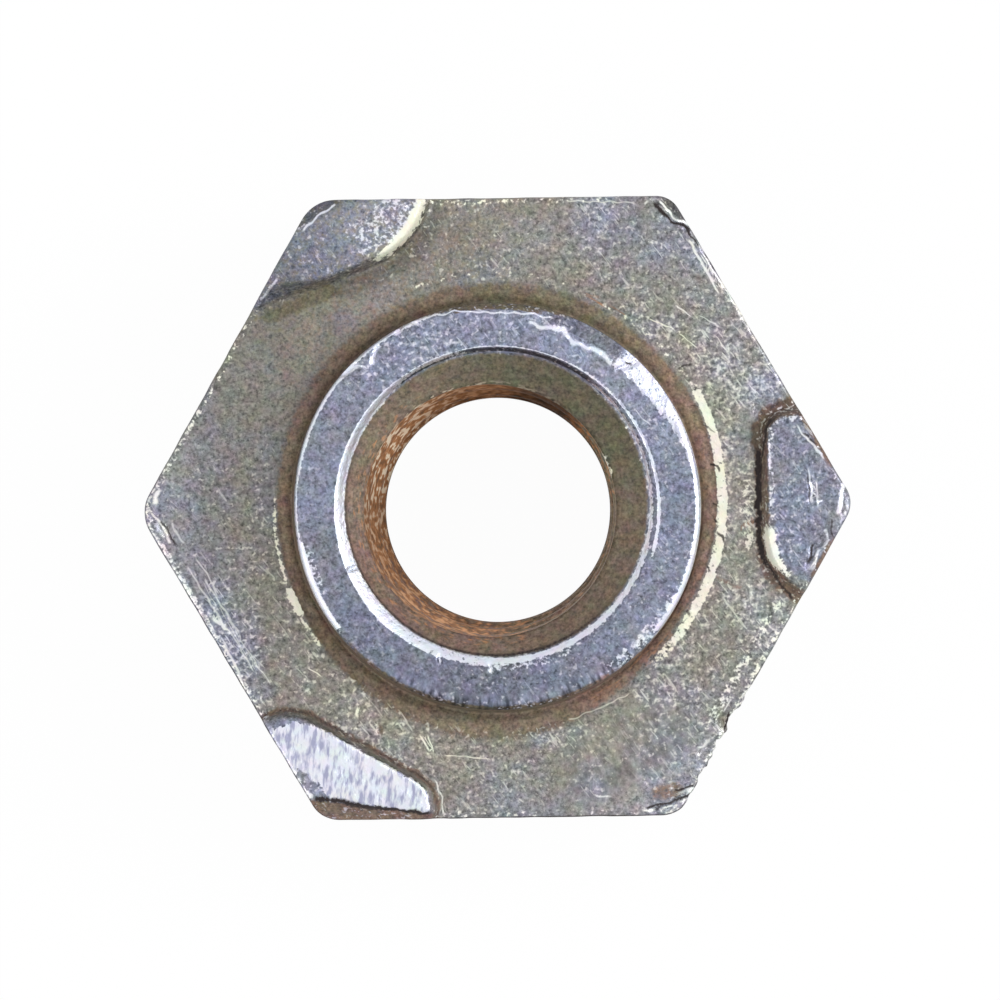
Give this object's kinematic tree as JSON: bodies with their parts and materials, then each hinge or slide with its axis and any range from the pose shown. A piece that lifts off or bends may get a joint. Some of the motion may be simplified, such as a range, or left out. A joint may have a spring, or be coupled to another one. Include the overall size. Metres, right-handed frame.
{
  "type": "hexagon weld nut",
  "caption": "Small hexagon weld nut with a threaded bore, a round pilot collar and raised weld projections on every second corner; plated steel, worn.",
  "frame": {"origin": "on the bore axis, in the plain face that the nut lies on", "axes": "+Z along the bore towards the pilot collar, +X at the hexagon corner that carries the first weld projection, +Y at the middle of a flat"},
  "size_m": [0.0102, 0.009, 0.0041],
  "materials": {
    "plated_steel": "dull, yellowed zinc plating on cold-formed steel, scraped bright on edges and raised faces, brown in the hollows and rusty in the thread"
  },
  "bodies": {
    "root": {"weld_nut": "plated_steel"}
  },
  "joints": []
}
